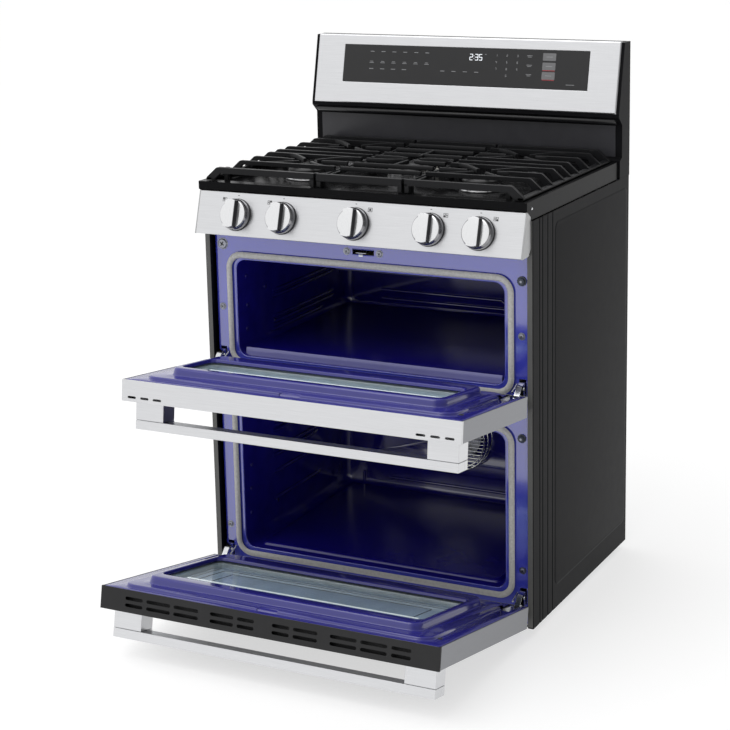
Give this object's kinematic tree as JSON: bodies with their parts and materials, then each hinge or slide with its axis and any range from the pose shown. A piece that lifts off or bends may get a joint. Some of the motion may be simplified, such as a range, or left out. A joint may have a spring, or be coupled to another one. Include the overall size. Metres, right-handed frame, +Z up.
{
  "type": "freestanding gas range",
  "caption": "Freestanding double-oven gas range: lift-off grates over the burners, sloping knob panel, upright backguard and two drop-down oven doors standing open.",
  "frame": {"origin": "on the floor, midway between the four levelling feet", "axes": "+X to the right as seen by the cook, +Y from the doors to the wall, +Z up"},
  "size_m": [0.76, 1.0293, 1.178],
  "materials": {
    "panel_black": "satin charcoal paint",
    "galvanised": "plain galvanised sheet",
    "frame_enamel": "glossy blue vitreous enamel",
    "cavity_enamel": "dark blue vitreous enamel",
    "liner_enamel": "glossy blue vitreous enamel",
    "hob_enamel": "gloss black enamel",
    "stainless": "fine horizontal brushing",
    "stainless_side": "brushed, vertical grain",
    "bright_steel": "plated steel",
    "aluminium": "cast, machined top",
    "iron": "matt black porcelain coat",
    "knob_metal": "satin, brushed face",
    "brass": "plain brass",
    "black_glass": "opaque black glass",
    "clear_glass": "coated clear glass",
    "lamp_glass": "frosted glass",
    "gasket": "woven glass-fibre braid",
    "blanket": "glass-fibre blanket",
    "ceramic": "white ceramic",
    "foot_plastic": "moulded black",
    "cap_grey": "silver-grey moulding",
    "cap_black": "satin charcoal paint",
    "board": "coated circuit board"
  },
  "bodies": {
    "root": {"side_panel_left": "panel_black", "side_panel_right": "panel_black", "rear_panel": "galvanised", "base_pan": "galvanised", "levelling_feet": "foot_plastic", "front_frame": "frame_enamel", "upper_cavity": "cavity_enamel", "lower_cavity": "cavity_enamel", "oven_gaskets": "gasket", "insulation": "blanket", "cooktop": "hob_enamel", "burner_heads": "aluminium", "burner_caps": "hob_enamel", "igniters": "ceramic", "control_panel": "stainless", "panel_end_caps": "cap_grey", "gas_valves": "brass", "gas_manifold": "galvanised", "gas_regulator": "aluminium", "backguard_panel": "stainless", "display_glass": "black_glass", "backguard_housing": "panel_black", "backsplash": "panel_black", "vent_trim": "panel_black", "control_board": "board", "oven_burners": "bright_steel", "oven_floors": "frame_enamel", "fan_guard": "bright_steel", "fan_motor": "galvanised", "oven_lamps": "lamp_glass", "temperature_probes": "bright_steel", "frame_screws": "bright_steel", "hinge_arms": "bright_steel"},
    "upper_door": {"upper_door_skin": "stainless_side", "upper_door_liner": "liner_enamel", "upper_door_glass": "clear_glass", "upper_door_cap": "stainless", "upper_handle": "stainless", "upper_hinges": "bright_steel"},
    "lower_door": {"lower_door_skin": "stainless_side", "lower_door_liner": "liner_enamel", "lower_door_glass": "clear_glass", "lower_door_cap": "cap_black", "lower_handle": "stainless", "lower_hinges": "bright_steel"},
    "stem_1": {"valve_stem_1": "brass"},
    "knob_1": {"knob_1": "knob_metal"},
    "stem_2": {"valve_stem_2": "brass"},
    "knob_2": {"knob_2": "knob_metal"},
    "stem_3": {"valve_stem_3": "brass"},
    "knob_3": {"knob_3": "knob_metal"},
    "stem_4": {"valve_stem_4": "brass"},
    "knob_4": {"knob_4": "knob_metal"},
    "stem_5": {"valve_stem_5": "brass"},
    "knob_5": {"knob_5": "knob_metal"},
    "fan": {"fan_blade": "aluminium"},
    "latch": {"latch_hook": "bright_steel"},
    "grate_left": {"grate_left": "iron"},
    "grate_center": {"grate_center": "iron"},
    "grate_right": {"grate_right": "iron"}
  },
  "joints": [
    {"name": "upper_door_hinge", "type": "hinge", "parent": "root", "child": "upper_door", "pos_m": [0, -0.323, 0.4915], "axis": [1, 0, 0], "range_deg": [-83.1, 0]},
    {"name": "lower_door_hinge", "type": "hinge", "parent": "root", "child": "lower_door", "pos_m": [0, -0.323, 0.0435], "axis": [1, 0, 0], "range_deg": [-78.9, 0]},
    {"name": "valve_1_turn", "type": "hinge", "parent": "root", "child": "stem_1", "pos_m": [-0.278, -0.31841, 0.85069], "axis": [0, -0.9549, 0.2971], "range_deg": [0, 240]},
    {"name": "knob_1_push", "type": "slide", "parent": "stem_1", "child": "knob_1", "axis": [0, -0.9549, 0.2971], "range_m": [-0.003, 0], "stiffness_N_per_m": 600, "springref_m": 0.004},
    {"name": "valve_2_turn", "type": "hinge", "parent": "root", "child": "stem_2", "pos_m": [-0.169, -0.31841, 0.85069], "axis": [0, -0.9549, 0.2971], "range_deg": [0, 240]},
    {"name": "knob_2_push", "type": "slide", "parent": "stem_2", "child": "knob_2", "axis": [0, -0.9549, 0.2971], "range_m": [-0.003, 0], "stiffness_N_per_m": 600, "springref_m": 0.004},
    {"name": "valve_3_turn", "type": "hinge", "parent": "root", "child": "stem_3", "pos_m": [0, -0.31841, 0.85069], "axis": [0, -0.9549, 0.2971], "range_deg": [0, 240]},
    {"name": "knob_3_push", "type": "slide", "parent": "stem_3", "child": "knob_3", "axis": [0, -0.9549, 0.2971], "range_m": [-0.003, 0], "stiffness_N_per_m": 600, "springref_m": 0.004},
    {"name": "valve_4_turn", "type": "hinge", "parent": "root", "child": "stem_4", "pos_m": [0.169, -0.31841, 0.85069], "axis": [0, -0.9549, 0.2971], "range_deg": [0, 240]},
    {"name": "knob_4_push", "type": "slide", "parent": "stem_4", "child": "knob_4", "axis": [0, -0.9549, 0.2971], "range_m": [-0.003, 0], "stiffness_N_per_m": 600, "springref_m": 0.004},
    {"name": "valve_5_turn", "type": "hinge", "parent": "root", "child": "stem_5", "pos_m": [0.278, -0.31841, 0.85069], "axis": [0, -0.9549, 0.2971], "range_deg": [0, 240]},
    {"name": "knob_5_push", "type": "slide", "parent": "stem_5", "child": "knob_5", "axis": [0, -0.9549, 0.2971], "range_m": [-0.003, 0], "stiffness_N_per_m": 600, "springref_m": 0.004},
    {"name": "fan_spin", "type": "hinge", "parent": "root", "child": "fan", "pos_m": [0, 0.192, 0.248], "axis": [0, 1, 0], "continuous": true},
    {"name": "latch_swing", "type": "hinge", "parent": "root", "child": "latch", "pos_m": [-0.005, -0.238, 0.779], "axis": [0, 0, 1], "range_deg": [-20, 0]},
    {"name": "grate_left_lift", "type": "slide", "parent": "root", "child": "grate_left", "axis": [0, 0, 1], "range_m": [0, 0.08]},
    {"name": "grate_center_lift", "type": "slide", "parent": "root", "child": "grate_center", "axis": [0, 0, 1], "range_m": [0, 0.08]},
    {"name": "grate_right_lift", "type": "slide", "parent": "root", "child": "grate_right", "axis": [0, 0, 1], "range_m": [0, 0.08]}
  ]
}
